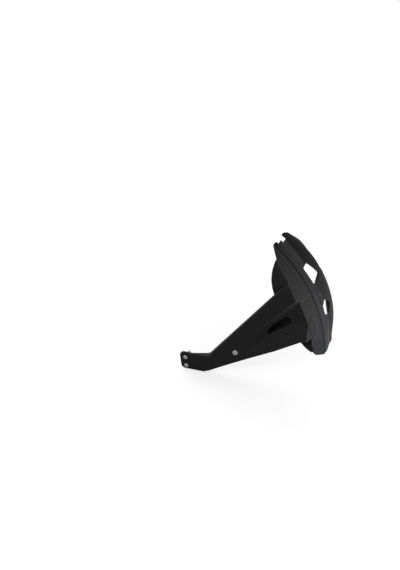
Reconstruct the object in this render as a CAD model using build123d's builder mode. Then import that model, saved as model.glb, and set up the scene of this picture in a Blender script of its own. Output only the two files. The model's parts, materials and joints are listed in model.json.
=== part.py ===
import os
from math import cos, hypot, radians, sin

from build123d import *

# Rear mudguard: a moulded blade on a one-sided arm, with a screwed-on rear cover.
# X runs rearward, Y to the far side, Z up.  The origin lies midway between the two
# tab bolts, on the mounting face of the steel bracket.

# Blade, a shell turned about an axis that is nearly level and leans down to the far side
axis_x = -60.0
axis_z = 18.0
mid_plane_y = 145.0
blade_tilt = 4.0
tilt_radius = 375.0
blade_wall = 3.0
blade_mid_angle = 25.0
groove_half_width = 62.0
groove_radius = 363.7
side_half_width = 93.5
side_crease_radius = 346.0
blade_top = 132.0
blade_bottom = 166.5
blade_taper_start = 56.0
blade_bottom_corner = 62.0
side_wall_bottom = 337.0
side_wall_foot = 307.0
side_wall_foot_drop = 101.0
side_wall_reach = 297.0
side_wall_shoulder = 315.0
side_wall_shoulder_rise = 83.0
side_wall_top = 335.5
side_wall_top_rise = 108.0
far_half_width = 74.0
far_sweep_start = -10.0
far_sweep_knee = 14.0
far_sweep_fall = 0.45
far_sweep_slope = 1.2

# Lower band, set down where the arm's shelf ends
band_step_angle = 25.0
band_step_depth = 3.0

# Facet raised on the lower band: angle, distance in from the near side, rise above the upper band
facet_tip = (18.6, 20.4, -1.1)
facet_left = (15.7, -3.6, -2.0)
facet_foot = (10.1, 2.4, -1.6)
facet_heel = (9.6, 12.8, 0.6)
facet_right = (13.2, 19.0, 0.8)
facet_depth = 5.0
facet_taper = 8.0

# Rear cover
cover_wall = 3.0
cover_gap = 2.0
seat_gap = 0.2
strip_half_width = 46.0
strip_slope = 0.32
cover_top_angle = 46.0
cover_bottom_angle = 0.0
notch_depth = 12.0
notch_inner = 14.0
notch_outer = 35.0
strip_end_trim = 4.0
slot_corner = 2.5
roof_half_width = 38.0
roof_crease_radius = 376.0
roof_crown = 9.0
# Sections of the leaf-shaped roof: angle, half width, crease radius, crest radius
roof_sections = (
    (cover_top_angle, 15.0, roof_crease_radius - 5.0, roof_crease_radius - 0.22 * roof_crown),
    (41.0, 24.0, roof_crease_radius - 4.0, roof_crease_radius + 0.22 * roof_crown),
    (35.0, 28.0, roof_crease_radius - 0.8, roof_crease_radius + 0.83 * roof_crown),
    (25.0, roof_half_width, roof_crease_radius, roof_crease_radius + roof_crown),
    (15.0, 35.0, roof_crease_radius - 0.5, roof_crease_radius + 0.83 * roof_crown),
    (8.0, 26.0, roof_crease_radius - 2.6, roof_crease_radius + 0.3 * roof_crown),
    (cover_bottom_angle, 16.0, roof_crease_radius - 5.0, roof_crease_radius - 0.22 * roof_crown),
)
# Slot outlines on the near flank, seen along the radius at their angle
slots = (
    (
        29.8,
        (
            (-42.5, 22.9),
            (-25.6, 26.1),
            (-12.9, -8.2),
            (-14.7, -15.2),
            (-25.1, -20.1),
            (-41.5, -20.9),
        ),
    ),
    (
        16.2,
        (
            (-42.0, 11.3),
            (-35.8, 22.5),
            (-28.7, 19.1),
            (-17.8, 6.9),
            (-22.0, -4.8),
            (-28.1, -16.3),
            (-41.3, -12.4),
        ),
    ),
)

# Frame under the cover
ledge_inner = 47.0
rail_radius = 365.0
rail_wall = 3.0
rail_angles = ((33.5, 37.5), (19.5, 24.5), (1.5, 7.0))

# Arm
face_wall = 4.0
rim_wall = 3.5
tab_half_height = 24.0
tab_front = 15.0
tab_corner = 10.0
arm_bend_x = 60.0
arm_root_height = 34.7
arm_upper_front_z = 27.7
arm_bend_radius = 14.0
arm_lower_front_x = 42.0
arm_foot_angle = 10.4
arm_foot_radius = 326.6
# Ends of the arm's upper edge and shelf line: angle, distance in from the near side, rise
upper_rear_place = (34.3, -1.8, 6.3)
shelf_rear_place = (27.0, -8.5, -4.5)
rim_start_x = 20.0
rim_slope = 0.28
# Reach of the arm's face beyond its two edges and its rear end, in shares, and its depth
core_above = 0.8
core_below = 3.2
core_end = 1.15
core_depth = 110.0

# Scoop in the arm
# Its points on the arm: share of the arm's length, drop down the rule
shelf_start_place = (0.565, 1.02)
ramp_front_place = (0.50, 1.89)
valley_front_place = (0.635, 1.63)
valley_sink = 9.0
# Its points on the blade: angle, distance in from the near side, rise above the side crease
shelf_foot_place = (25.1, 2.8, 0.3)
valley_rear_place = (17.5, 2.3, -4.4)
duct_wall = 3.0
duct_corner = 4.0
duct_sink = 6.0
# Outline of the duct's mouth, rearward and up from the front of the valley
duct_outline = (
    (0.0, 8.4),
    (16.0, 29.5),
    (42.7, 49.7),
    (54.2, 44.3),
    (56.3, 35.5),
    (51.7, 27.1),
    (5.8, -0.4),
)

# Bracket
plate = 3.0
plate_fit = 0.2
bracket_margin = 5.2
bracket_inner = 16.0
bracket_outer = 50.0
bracket_length = 92.0
bracket_foot_z = 14.0
bracket_corner = 6.0

# Fasteners
tab_pitch = 24.0
tab_bolt_diameter = 6.0
tab_thread_diameter = 5.6
tab_thread_length = 14.0
tab_head_diameter = 10.5
tab_head_height = 3.6
tab_washer_diameter = 13.5
arm_bolt_diameter = 6.0
arm_head_diameter = 12.6
arm_head_height = 4.0
arm_washer_diameter = 16.0
arm_seat_depth = 1.2
arm_bolt_end = 3.0
head_round = 0.75
socket_size = 0.33
socket_depth = 0.6
washer_thickness = 1.4
sleeve_wall = 1.8
hole_clearance = 0.3
nut_across_flats = 10.0
nut_height = 6.0
nut_flange_diameter = 14.0
nut_flange_height = 1.4
cover_screw_diameter = 4.0
cover_screw_head = 7.6
cover_screw_head_height = 2.6
cover_washer_diameter = 10.6
cover_washer_thickness = 1.0
cover_screw_angles = (34.5, 22.0, 5.0)
cover_screw_offset = 54.0
insert_diameter = 5.6
insert_skin = 1.2
boss_diameter = 8.4
flank_screw_diameter = 3.0
flank_screw_head = 6.4
flank_screw_head_height = 2.2
flank_screw_angle = 22.5
flank_screw_offset = 41.5
flank_boss_diameter = 8.0
flank_seat_depth = 1.0
flank_screw_reach = 14.0
flank_boss_arc = 10.0
arm_bolt_share = 0.31
arm_bolt_drop = 1.27

mid_radius = Vector(cos(radians(blade_mid_angle)), 0, sin(radians(blade_mid_angle)))
up_blade = Vector(-mid_radius.Z, 0, mid_radius.X)
across = Vector(0, cos(radians(blade_tilt)), 0) - mid_radius * sin(radians(blade_tilt))
outward = mid_radius * cos(radians(blade_tilt)) + Vector(0, sin(radians(blade_tilt)), 0)
blade_centre = Vector(axis_x, mid_plane_y, axis_z) + (mid_radius - outward) * tilt_radius
blade_axis = Axis(blade_centre, across)
far = 420.0
axis_clearance = 10.0
duct_floor_y = mid_plane_y - side_half_width + duct_sink
band_slope = (groove_radius - side_crease_radius) / (side_half_width - groove_half_width)
os.makedirs("parts", exist_ok=True)


def radial(angle):
    """Unit vector out from the blade axis at an angle up the blade."""
    turn = radians(angle - blade_mid_angle)
    return outward * cos(turn) + up_blade * sin(turn)


def meridian(angle):
    """Plane through the blade axis: local x across the blade, local y the radius."""
    return Plane(blade_centre, x_dir=across, z_dir=across.cross(radial(angle)))


def facing(angle):
    """Plane on the blade axis seen along a radius: local x across, local y up the blade."""
    return Plane(blade_centre, x_dir=across, z_dir=radial(angle))


def blade_point(angle, inset, rise):
    """Point by its angle, its distance in from the near side and its rise above the side crease."""
    return blade_centre + radial(angle) * (side_crease_radius + rise) + across * (inset - side_half_width)


def arm_point(share, drop):
    """Point on the arm's face, by its share of the arm's length and its drop down the rule."""
    upper = upper_front + (upper_rear - upper_front) * share
    shelf = shelf_front + (shelf_rear - shelf_front) * share
    return upper + (shelf - upper) * drop


def band_radius(offset):
    """Outer radius of the band at a distance from the mid-plane."""
    return groove_radius - (offset - groove_half_width) * band_slope


def strip_radius(offset):
    """Outer radius of the cover's edge strip at a distance from the mid-plane."""
    return groove_radius + (groove_half_width - offset) * strip_slope


def ledge_radius(offset):
    """Outer radius of the ledge on which the cover's edge strip lies."""
    return strip_radius(offset) - cover_wall - seat_gap


def lathe(inset):
    """Body turned from the blade's section, with the skin taken in by an inset."""
    with BuildPart() as turned:
        with BuildSketch(meridian(0)):
            with BuildLine():
                Polyline(
                    (-2 * side_half_width, axis_clearance),
                    (-2 * side_half_width, band_radius(2 * side_half_width)),
                    (-groove_half_width, groove_radius),
                    (-groove_half_width, ledge_radius(groove_half_width)),
                    (-ledge_inner, ledge_radius(ledge_inner)),
                    (ledge_inner, ledge_radius(ledge_inner)),
                    (groove_half_width, ledge_radius(groove_half_width)),
                    (groove_half_width, groove_radius),
                    (2 * side_half_width, band_radius(2 * side_half_width)),
                    (2 * side_half_width, axis_clearance),
                    close=True,
                )
            make_face()
            if inset > 0:
                offset(amount=-inset, kind=Kind.INTERSECTION, mode=Mode.REPLACE)
        revolve(axis=blade_axis)
    return turned.part


def band_step(inset):
    """Wedge over the near lower band: nothing at the groove, deepest at the side crease."""
    outer = 2 * side_half_width
    drop = band_step_depth * (outer - groove_half_width) / (side_half_width - groove_half_width)
    with BuildPart() as wedge:
        with BuildSketch(meridian(band_step_angle)):
            with BuildLine():
                Polyline(
                    (-groove_half_width, groove_radius - inset),
                    (-outer, band_radius(outer) - drop - inset),
                    (-outer, groove_radius + blade_wall),
                    (-groove_half_width, groove_radius + blade_wall),
                    close=True,
                )
            make_face()
        revolve(axis=blade_axis, revolution_arc=2 * blade_mid_angle)
    return wedge.part


def rule_plane(share):
    """Upper-edge and shelf points at a share of the arm's length, and the plane through them."""
    upper = arm_point(share, 0)
    rule = arm_point(share, 1) - upper
    up = Vector(-rule.X, 0, -rule.Z).normalized()
    plane = Plane(upper, x_dir=(0, 1, 0), z_dir=Vector(0, 1, 0).cross(up))
    return plane, rule.Y, hypot(rule.X, rule.Z)


def arm_core(inset):
    """Everything on the inner side of the arm's face, taken in by an inset along Y."""
    with BuildPart() as core:
        for share in (0, core_end):
            plane, lean, length = rule_plane(share)
            with BuildSketch(plane):
                with BuildLine():
                    Polyline(
                        (inset - core_above * lean, core_above * length),
                        (core_depth, core_above * length),
                        (core_depth, -core_below * length),
                        (inset + core_below * lean, -core_below * length),
                        close=True,
                    )
                make_face()
        loft(ruled=True)
        with BuildSketch(Plane.YZ.offset(arm_bend_x)):
            with Locations((tab_outer_y + inset, arm_upper_front_z + core_above * arm_root_height)):
                Rectangle(
                    core_depth - inset,
                    (core_above + core_below) * arm_root_height,
                    align=(Align.MIN, Align.MAX),
                )
        extrude(amount=-(arm_bend_x + 2 * tab_front))
    return core.part


def plane_through(first, second, third, inset):
    """Plane through three points with its normal to the near side, moved inward by an inset."""
    normal = (second - first).cross(third - first).normalized()
    if normal.Y > 0:
        normal = -normal
    return Plane(first - normal * inset, z_dir=normal)


def scoop(inset):
    """Recess below the shelf: the shelf's under-face, a front ramp, a floor and a lower slope."""
    faces = (
        plane_through(shelf_start, shelf_rear, shelf_foot, inset),
        plane_through(shelf_start, ramp_front, valley_front, inset),
        plane_through(shelf_foot, valley_front, valley_rear, inset),
        plane_through(ramp_front, valley_front, valley_rear, inset),
    )
    with BuildPart() as recess:
        with Locations(valley_front):
            Box(far, far, far)
        for face in faces:
            split(bisect_by=face, keep=Keep.TOP)
    return recess.part


def duct(growth, floor_y):
    """Blind air duct in the recess, grown by a wall and ending on a level floor."""
    floor = Plane((valley_front.X, floor_y, valley_front.Z), x_dir=(1, 0, 0), z_dir=(0, -1, 0))
    with BuildPart() as pocket:
        with BuildSketch(floor):
            with BuildLine():
                Polyline(*duct_outline, close=True)
            make_face()
            fillet(vertices(), radius=duct_corner)
            if growth > 0:
                offset(amount=growth, mode=Mode.REPLACE)
        extrude(amount=floor_y + side_half_width)
    return pocket.part


def arm_outline(inset):
    """Side view of the arm as a long block across Y, its edges taken in by an inset."""
    along = (upper_rear - upper_front) * (1 / (upper_rear.X - upper_front.X))
    rear_x = arm_bend_x + core_end * (upper_rear.X - arm_bend_x)
    rear_z = arm_upper_front_z + along.Z * (rear_x - arm_bend_x)
    elbow_x = arm_bend_x - (arm_upper_front_z - tab_half_height) / along.Z
    foot = blade_centre + radial(arm_foot_angle) * arm_foot_radius
    foot_end = blade_centre + radial(arm_foot_angle) * far
    with BuildPart() as block:
        with BuildSketch(Plane.XZ):
            with BuildLine():
                Polyline(
                    (foot.X, foot.Z),
                    (foot_end.X, foot_end.Z),
                    (foot_end.X, rear_z),
                    (rear_x, rear_z),
                    (elbow_x, tab_half_height),
                    (-tab_front, tab_half_height),
                    (-tab_front, -tab_half_height),
                    (arm_lower_front_x, -tab_half_height),
                    close=True,
                )
            make_face()
            fillet(vertices().group_by(Axis.X)[0], radius=tab_corner)
            fillet(vertices().sort_by_distance((elbow_x, 0, tab_half_height))[0], radius=arm_bend_radius)
            if inset > 0:
                offset(amount=-inset, kind=Kind.INTERSECTION, mode=Mode.REPLACE)
        extrude(amount=side_half_width, both=True)
    return block.part


def strip_plane(angle, side):
    """Plane on the cover's edge strip at a fixing, with its normal outward."""
    radius = strip_radius(cover_screw_offset)
    origin = blade_centre + radial(angle) * radius + across * side * cover_screw_offset
    return Plane(origin, z_dir=radial(angle) + across * side * strip_slope)


def flank_plane(side):
    """Plane on the cover's flank at its small screw, with its normal outward."""
    rise = roof_crease_radius - strip_radius(strip_half_width)
    slope = rise / (strip_half_width - roof_half_width)
    radius = strip_radius(strip_half_width) + slope * (strip_half_width - flank_screw_offset)
    origin = blade_centre + radial(flank_screw_angle) * radius + across * side * flank_screw_offset
    return Plane(origin, z_dir=radial(flank_screw_angle) + across * side * slope)


# Outer surface of the arm: straight rules from the upper edge to the shelf line
tab_outer_y = -(plate + plate_fit + face_wall)
upper_front = Vector(arm_bend_x, tab_outer_y, arm_upper_front_z)
upper_rear = blade_point(*upper_rear_place)
shelf_front = Vector(arm_bend_x, tab_outer_y, arm_upper_front_z - arm_root_height)
shelf_rear = blade_point(*shelf_rear_place)

# Scoop: the front end and foot of its shelf, the front of the ramp and the valley
shelf_start = arm_point(*shelf_start_place)
shelf_foot = blade_point(*shelf_foot_place)
ramp_front = arm_point(*ramp_front_place)
valley_front = arm_point(*valley_front_place) + Vector(0, valley_sink, 0)
valley_rear = blade_point(*valley_rear_place)

strip_norm = hypot(1, strip_slope)
ledge_bottom = (cover_wall + seat_gap) / strip_norm + blade_wall
strip_planes = [strip_plane(angle, side) for angle in cover_screw_angles for side in (-1, 1)]
flank_planes = [flank_plane(side) for side in (-1, 1)]
tab_planes = [
    Plane((0, tab_outer_y, height), z_dir=(0, -1, 0)) for height in (-tab_pitch / 2, tab_pitch / 2)
]
arm_bolt_point = arm_point(arm_bolt_share, arm_bolt_drop)
arm_bolt_run = arm_point(1, arm_bolt_drop) - arm_point(0, arm_bolt_drop)
arm_bolt_plane = plane_through(arm_bolt_point, arm_point(arm_bolt_share, 0), arm_bolt_point + arm_bolt_run, 0)
arm_face_tilt = -arm_bolt_plane.z_dir.Y
arm_plate_depth = face_wall * arm_face_tilt
arm_bolt_reach = arm_plate_depth + plate + nut_height + arm_bolt_end
tab_sleeve_radius = tab_bolt_diameter / 2 + hole_clearance + sleeve_wall
arm_sleeve_radius = arm_bolt_diameter / 2 + hole_clearance + sleeve_wall
arm_along = Vector(upper_rear.X - upper_front.X, 0, upper_rear.Z - upper_front.Z).normalized()
arm_across = Vector(arm_along.Z, 0, -arm_along.X)
bracket_corners = [
    upper_front + arm_along * along + arm_across * down
    for along, down in (
        (0, bracket_inner),
        (bracket_length, bracket_inner),
        (bracket_length, bracket_outer),
    )
]
bracket_points = (
    (bracket_margin - tab_front, tab_half_height - bracket_margin),
    (arm_bend_x - bracket_inner, tab_half_height - bracket_margin),
    *[(corner.X, corner.Z) for corner in bracket_corners],
    (arm_bend_x + bracket_outer, bracket_foot_z),
    (arm_bend_x - bracket_inner, bracket_margin - tab_half_height),
    (bracket_margin - tab_front, bracket_margin - tab_half_height),
)


with BuildPart() as far_sweep:
    far_sweep_top = roof_crease_radius * sin(radians(cover_top_angle - blade_mid_angle))
    knee_top = far_sweep_top - far_sweep_fall * (far_sweep_knee - far_sweep_start)
    with BuildSketch(facing(blade_mid_angle)):
        with BuildLine():
            Polyline(
                (far_sweep_start, far_sweep_top),
                (far_sweep_start, far),
                (2 * side_half_width, far),
                (2 * side_half_width, knee_top - far_sweep_slope * (2 * side_half_width - far_sweep_knee)),
                (far_sweep_knee, knee_top),
                close=True,
            )
        make_face()
    extrude(amount=far)

with BuildPart() as blade_block:
    side_view = Plane(blade_centre, x_dir=up_blade, z_dir=across)
    with BuildSketch(side_view):
        with BuildLine():
            Spline(
                (-blade_bottom, side_wall_bottom),
                (-side_wall_foot_drop, side_wall_foot),
                (0, side_wall_reach),
                (side_wall_shoulder_rise, side_wall_shoulder),
                (side_wall_top_rise, side_wall_top),
            )
            Polyline(
                (side_wall_top_rise, side_wall_top),
                (blade_top, side_wall_top),
                (blade_top, far),
                (-blade_bottom, far),
                (-blade_bottom, side_wall_bottom),
            )
        make_face()
    extrude(amount=side_half_width, both=True)
    with BuildSketch(facing(blade_mid_angle)):
        with BuildLine():
            Polyline(
                (-groove_half_width, blade_top),
                (far_half_width, blade_top),
                (far_half_width, -blade_bottom),
                (-side_half_width, -blade_bottom),
                (-side_half_width, blade_taper_start),
            )
            TangentArc((-side_half_width, blade_taper_start), (-groove_half_width, blade_top), tangent=(0, 1))
        make_face()
        fillet(vertices().group_by(Axis.Y)[0], radius=blade_bottom_corner)
    extrude(amount=far, mode=Mode.INTERSECT)
    add(far_sweep.part, mode=Mode.SUBTRACT)

with BuildPart() as hollow:
    inner_half_width = side_half_width - blade_wall
    taper_rise = blade_top - blade_taper_start
    taper_run = side_half_width - groove_half_width
    taper_radius = (taper_run**2 + taper_rise**2) / (2 * taper_run)
    inner_top = blade_top + 2 * blade_wall
    inner_rise = inner_top - blade_taper_start
    inner_radius = taper_radius - blade_wall
    inner_run = inner_radius - (inner_radius**2 - inner_rise**2) ** 0.5
    with BuildSketch(facing(blade_mid_angle)):
        with BuildLine():
            Polyline(
                (inner_run - inner_half_width, inner_top),
                (2 * far_half_width, inner_top),
                (2 * far_half_width, -2 * blade_bottom),
                (-inner_half_width, -2 * blade_bottom),
                (-inner_half_width, blade_taper_start),
            )
            TangentArc(
                (-inner_half_width, blade_taper_start),
                (inner_run - inner_half_width, inner_top),
                tangent=(0, 1),
            )
        make_face()
    extrude(amount=far)
    add(lathe(blade_wall), mode=Mode.INTERSECT)
    add(band_step(blade_wall), mode=Mode.SUBTRACT)

with BuildPart() as arm_hollow:
    # Behind the sloping ends of the rims, and between the rims
    with BuildSketch(Plane.XY.offset(-far / 2)):
        with BuildLine():
            rim_front_y = -(plate + plate_fit) - 4 * rim_start_x * rim_slope
            Polyline(
                (-3 * rim_start_x, rim_front_y),
                (far, -(plate + plate_fit) + (far - rim_start_x) * rim_slope),
                (far, mid_plane_y + far),
                (-3 * rim_start_x, mid_plane_y),
                close=True,
            )
        make_face()
    extrude(amount=far + far / 2)
    add(arm_outline(0), mode=Mode.INTERSECT)
    add(arm_outline(rim_wall))
    add(arm_core(face_wall), mode=Mode.INTERSECT)
    add(scoop(face_wall), mode=Mode.SUBTRACT)
    add(lathe(blade_wall), mode=Mode.INTERSECT)
    add(band_step(blade_wall), mode=Mode.SUBTRACT)

with BuildPart() as arm_block:
    add(arm_outline(0))
    add(arm_core(0), mode=Mode.INTERSECT)
    add(scoop(0), mode=Mode.SUBTRACT)

with BuildPart() as duct_block:
    add(duct(duct_wall, duct_floor_y + duct_wall))
    add(arm_core(0), mode=Mode.INTERSECT)
    add(scoop(0), mode=Mode.SUBTRACT)

with BuildPart() as facet:
    # A tapered block on the face through its lower corners, sloped off to its tip
    tip, left, foot, heel, right = [
        blade_point(angle, inset, inset * band_slope + rise)
        for angle, inset, rise in (facet_tip, facet_left, facet_foot, facet_heel, facet_right)
    ]
    facet_plane = plane_through(left, foot, heel, 0)
    flat_corners = [facet_plane.to_local_coords(corner) for corner in (tip, left, foot, heel, right)]
    with BuildSketch(facet_plane.offset(-facet_depth)):
        with BuildLine():
            Polyline(*[(corner.X, corner.Y) for corner in flat_corners], close=True)
        make_face()
    extrude(amount=facet_depth, taper=facet_taper)
    split(bisect_by=plane_through(tip, left, right, 0), keep=Keep.BOTTOM)

with BuildPart() as fender_body:
    add(blade_block.part)
    add(arm_block.part)
    add(lathe(0), mode=Mode.INTERSECT)
    add(band_step(0), mode=Mode.SUBTRACT)
    add(facet.part)
    add(hollow.part, mode=Mode.SUBTRACT)
    add(arm_hollow.part, mode=Mode.SUBTRACT)
    add(duct_block.part)
    add(duct(0, duct_floor_y), mode=Mode.SUBTRACT)
    # Opening under the cover, crossed by three rails
    with BuildSketch(facing(blade_mid_angle)):
        Rectangle(2 * ledge_inner, 2 * far)
    extrude(amount=far, mode=Mode.SUBTRACT)
    for lower_angle, upper_angle in rail_angles:
        with BuildSketch(meridian(upper_angle)):
            with Locations((0, rail_radius)):
                Rectangle(2 * ledge_inner + rail_wall, rail_wall, align=(Align.CENTER, Align.MAX))
        revolve(axis=blade_axis, revolution_arc=upper_angle - lower_angle)
    # Holes for the cover's bosses and flank screws
    with Locations(*strip_planes):
        Cylinder(boss_diameter / 2 + hole_clearance, 4 * ledge_bottom, mode=Mode.SUBTRACT)
    with Locations(*flank_planes):
        Cylinder(
            flank_screw_diameter / 2 + seat_gap / 2,
            8 * rail_wall,
            align=(Align.CENTER, Align.CENTER, Align.MAX),
            mode=Mode.SUBTRACT,
        )
    # Sleeve holes in the tab and the sunk seat of the arm bolt
    with Locations(*tab_planes):
        Cylinder(tab_sleeve_radius + seat_gap / 4, 4 * face_wall, mode=Mode.SUBTRACT)
    with Locations(arm_bolt_plane):
        Cylinder(arm_sleeve_radius + seat_gap / 4, 4 * face_wall, mode=Mode.SUBTRACT)
    with Locations(arm_bolt_plane.offset(-arm_seat_depth)):
        Cylinder(
            arm_washer_diameter / 2 + hole_clearance,
            4 * arm_seat_depth,
            align=(Align.CENTER, Align.CENTER, Align.MIN),
            mode=Mode.SUBTRACT,
        )
fender_body.part.label = "fender_body"
export_step(fender_body.part, "parts/fender_body.step")

with BuildPart() as rear_cover:
    for angle, half_width, crease, crest in roof_sections:
        edge = groove_half_width - cover_gap
        with BuildSketch(meridian(angle)):
            with BuildLine():
                Polyline(
                    (-half_width, crease),
                    (-strip_half_width, strip_radius(strip_half_width)),
                    (-edge, strip_radius(edge)),
                    (-edge, strip_radius(edge) - cover_wall),
                    (-strip_half_width, strip_radius(strip_half_width) - cover_wall),
                    (-half_width, crease - cover_wall),
                )
                ThreePointArc(
                    (-half_width, crease - cover_wall),
                    (0, crest - cover_wall),
                    (half_width, crease - cover_wall),
                )
                Polyline(
                    (half_width, crease - cover_wall),
                    (strip_half_width, strip_radius(strip_half_width) - cover_wall),
                    (edge, strip_radius(edge) - cover_wall),
                    (edge, strip_radius(edge)),
                    (strip_half_width, strip_radius(strip_half_width)),
                    (half_width, crease),
                )
                ThreePointArc((half_width, crease), (0, crest), (-half_width, crease))
            make_face()
    loft()
    # Notch beside the roof's upper end, the trimmed near strip and the swept far corner
    with BuildSketch(facing(cover_top_angle)):
        with Locations((-notch_inner, 0)):
            Rectangle(notch_outer - notch_inner, 2 * notch_depth, align=(Align.MAX, Align.CENTER))
            Rectangle(groove_half_width, 2 * strip_end_trim, align=(Align.MAX, Align.CENTER))
    extrude(amount=far, mode=Mode.SUBTRACT)
    add(far_sweep.part, mode=Mode.SUBTRACT)
    # Slots through the flanks, reaching in under the roof to a narrow spine
    for angle, outline in slots:
        with BuildSketch(facing(angle)):
            with BuildLine():
                Polyline(*outline, close=True)
            make_face()
            mirror(about=Plane.YZ)
            fillet(vertices(), radius=slot_corner)
        extrude(amount=far, mode=Mode.SUBTRACT)
    # Bosses for the inserts, and bosses down to the middle rail
    with Locations(*[plane.offset(-insert_skin) for plane in strip_planes]):
        Cylinder(
            boss_diameter / 2,
            ledge_bottom - seat_gap - insert_skin,
            align=(Align.CENTER, Align.CENTER, Align.MAX),
        )
        Cylinder(
            insert_diameter / 2 + seat_gap / 4,
            2 * ledge_bottom,
            align=(Align.CENTER, Align.CENTER, Align.MAX),
            mode=Mode.SUBTRACT,
        )
    with Locations(*[plane.offset(-cover_wall / 2) for plane in flank_planes]):
        Cylinder(flank_boss_diameter / 2, 4 * cover_wall, align=(Align.CENTER, Align.CENTER, Align.MAX))
    with BuildSketch(meridian(flank_screw_angle + flank_boss_arc / 2)):
        with Locations((0, rail_radius + seat_gap)):
            Rectangle(2 * ledge_inner - seat_gap, 10 * rail_wall, align=(Align.CENTER, Align.MAX))
    revolve(axis=blade_axis, revolution_arc=flank_boss_arc, mode=Mode.SUBTRACT)
    with Locations(*flank_planes):
        Cylinder(flank_screw_diameter / 2 + hole_clearance, 8 * cover_wall, mode=Mode.SUBTRACT)
    with Locations(*[plane.offset(-flank_seat_depth) for plane in flank_planes]):
        Cylinder(
            flank_screw_head / 2 + hole_clearance,
            2 * cover_wall,
            align=(Align.CENTER, Align.CENTER, Align.MIN),
            mode=Mode.SUBTRACT,
        )
rear_cover.part.label = "rear_cover"
export_step(rear_cover.part, "parts/rear_cover.step")

with BuildPart() as mounting_bracket:
    with BuildSketch(Plane.XZ):
        with BuildLine():
            Polyline(*bracket_points, close=True)
        make_face()
        fillet(vertices(), radius=bracket_corner)
    extrude(amount=side_half_width, both=True)
    add(arm_core(face_wall + plate_fit), mode=Mode.INTERSECT)
    add(arm_core(face_wall + plate_fit + plate), mode=Mode.SUBTRACT)
    with Locations(*tab_planes):
        Cylinder(tab_bolt_diameter / 2 + hole_clearance, 8 * plate, mode=Mode.SUBTRACT)
    with Locations(arm_bolt_plane):
        Cylinder(arm_bolt_diameter / 2 + hole_clearance, 8 * plate, mode=Mode.SUBTRACT)
mounting_bracket.part.label = "mounting_bracket"
export_step(mounting_bracket.part, "parts/mounting_bracket.step")


def button_bolt(planes, diameter, head_diameter, head_height, reach, thread_diameter=0, thread_length=0):
    """Button-head bolts with a hexagon socket on each plane, a plain shank and a threaded end."""
    with BuildPart() as bolts:
        with Locations(*planes):
            Cylinder(head_diameter / 2, head_height, align=(Align.CENTER, Align.CENTER, Align.MIN))
        tops = edges().filter_by(GeomType.CIRCLE).filter_by(lambda edge: edge.radius > diameter / 2)
        fillet([edge for edge in tops if on_top(edge, planes)], radius=head_round * head_height)
        with Locations(*planes):
            Cylinder(diameter / 2, reach, align=(Align.CENTER, Align.CENTER, Align.MAX))
        if thread_length > 0:
            with Locations(*[plane.offset(-reach) for plane in planes]):
                Cylinder(thread_diameter / 2, thread_length, align=(Align.CENTER, Align.CENTER, Align.MAX))
        for plane in planes:
            with BuildSketch(plane.offset(head_height)):
                RegularPolygon(socket_size * diameter, 6, major_radius=False)
            extrude(amount=-socket_depth * head_height, mode=Mode.SUBTRACT)
    return bolts.part


def on_top(edge, planes):
    """Whether a circular edge lies above the seat of the nearest plane."""
    centre = edge.arc_center
    nearest = min(planes, key=lambda plane: (plane.origin - centre).length)
    return nearest.to_local_coords(centre).Z > seat_gap


def rings(planes, outer_radius, inner_radius, height):
    """Flat rings that stand on each plane: washers, sleeves and inserts."""
    with BuildPart() as ring:
        with Locations(*planes):
            Cylinder(outer_radius, height, align=(Align.CENTER, Align.CENTER, Align.MIN))
            Cylinder(
                inner_radius, height, align=(Align.CENTER, Align.CENTER, Align.MIN), mode=Mode.SUBTRACT
            )
    return ring.part


tab_head_planes = [plane.offset(washer_thickness) for plane in tab_planes]
arm_head_plane = arm_bolt_plane.offset(washer_thickness - arm_seat_depth)
pieces = {
    "tab_bolts": button_bolt(
        tab_head_planes,
        tab_bolt_diameter,
        tab_head_diameter,
        tab_head_height,
        washer_thickness - tab_outer_y,
        tab_thread_diameter,
        tab_thread_length,
    ),
    "tab_washers": rings(
        tab_planes, tab_washer_diameter / 2, tab_bolt_diameter / 2 + hole_clearance, washer_thickness
    ),
    "tab_sleeves": rings(
        [plane.offset(-face_wall) for plane in tab_planes],
        tab_sleeve_radius,
        tab_bolt_diameter / 2 + hole_clearance,
        face_wall,
    ),
    "arm_bolt": button_bolt(
        [arm_head_plane], arm_bolt_diameter, arm_head_diameter, arm_head_height, arm_bolt_reach
    ),
    "arm_washer": rings(
        [arm_bolt_plane.offset(-arm_seat_depth)],
        arm_washer_diameter / 2,
        arm_bolt_diameter / 2 + hole_clearance,
        washer_thickness,
    ),
    "arm_sleeve": rings(
        [arm_bolt_plane.offset(-arm_plate_depth)],
        arm_sleeve_radius,
        arm_bolt_diameter / 2 + hole_clearance,
        arm_plate_depth - arm_seat_depth,
    ),
    "cover_inserts": rings(
        [plane.offset(-(ledge_bottom - seat_gap)) for plane in strip_planes],
        insert_diameter / 2,
        cover_screw_diameter / 2 + seat_gap / 2,
        ledge_bottom - seat_gap - insert_skin,
    ),
    "cover_washers": rings(
        [plane.offset(-(ledge_bottom + seat_gap / 2 + cover_washer_thickness)) for plane in strip_planes],
        cover_washer_diameter / 2,
        cover_screw_diameter / 2 + hole_clearance,
        cover_washer_thickness,
    ),
}
for name, piece in pieces.items():
    piece.label = name
    export_step(piece, f"parts/{name}.step")

with BuildPart() as arm_nut:
    nut_plane = arm_bolt_plane.offset(-(arm_plate_depth + plate + 2 * plate_fit))
    with BuildSketch(nut_plane):
        Circle(nut_flange_diameter / 2)
        Circle(arm_bolt_diameter / 2 + seat_gap / 2, mode=Mode.SUBTRACT)
    extrude(amount=-nut_flange_height)
    with BuildSketch(nut_plane):
        RegularPolygon(nut_across_flats / 2, 6, major_radius=False)
        Circle(arm_bolt_diameter / 2 + seat_gap / 2, mode=Mode.SUBTRACT)
    extrude(amount=-nut_height)
arm_nut.part.label = "arm_nut"
export_step(arm_nut.part, "parts/arm_nut.step")

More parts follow.
